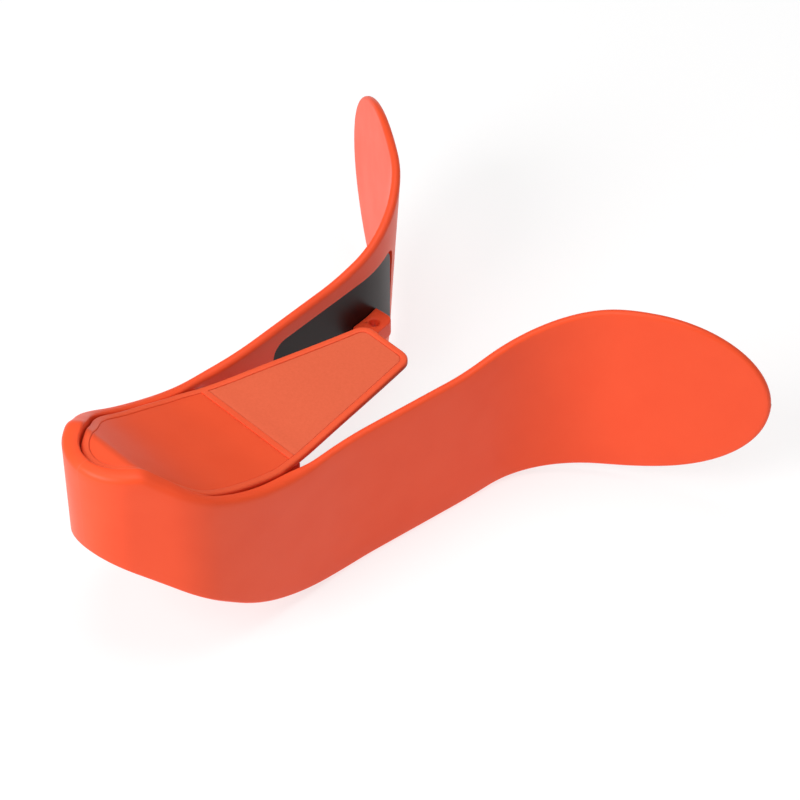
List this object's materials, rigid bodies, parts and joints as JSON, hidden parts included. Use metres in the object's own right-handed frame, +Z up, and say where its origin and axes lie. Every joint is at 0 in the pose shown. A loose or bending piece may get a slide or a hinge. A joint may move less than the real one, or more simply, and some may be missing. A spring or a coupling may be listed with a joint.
{
  "type": "hip and thigh trainer",
  "caption": "Springy U-shaped hip and inner-thigh trainer with a raised nose, an inset cover with a flat tongue, and two flared oval wings.",
  "frame": {"origin": "centre of the bounding box at floor level", "axes": "+X across the trainer towards its right wing, +Y from the nose to the open end, +Z up"},
  "size_m": [0.2482, 0.2624, 0.1044],
  "materials": {
    "orange_shell": "semi-matte moulded polypropylene",
    "orange_cover": "satin moulded plastic",
    "tongue_texture": "finely textured soft-touch plastic",
    "orange_core": "plain moulded plastic",
    "black_steel": "gloss black finished spring steel",
    "screw_steel": "zinc plated"
  },
  "bodies": {
    "frame": {"nose_shell": "orange_shell", "top_cover": "orange_cover", "nose_inlay": "orange_cover", "tongue_inlay": "tongue_texture", "core_block": "orange_core", "bottom_cover": "orange_core", "spring_bow": "black_steel", "cover_screws": "screw_steel", "base_screws": "screw_steel", "shell_screws": "screw_steel"},
    "right_side": {"right_arm": "orange_shell", "right_leaf": "black_steel", "right_lug": "orange_cover"},
    "left_side": {"left_arm": "orange_shell", "left_leaf": "black_steel", "left_lug": "orange_cover"}
  },
  "joints": [
    {"name": "right_flex", "type": "hinge", "parent": "frame", "child": "right_side", "pos_m": [0.0339, -0.03358, 0.035], "axis": [0, 0, 1], "range_deg": [0, 14], "stiffness_Nm_per_rad": 30},
    {"name": "left_flex", "type": "hinge", "parent": "frame", "child": "left_side", "pos_m": [-0.0339, -0.03358, 0.035], "axis": [0, 0, -1], "range_deg": [0, 14], "stiffness_Nm_per_rad": 30}
  ]
}
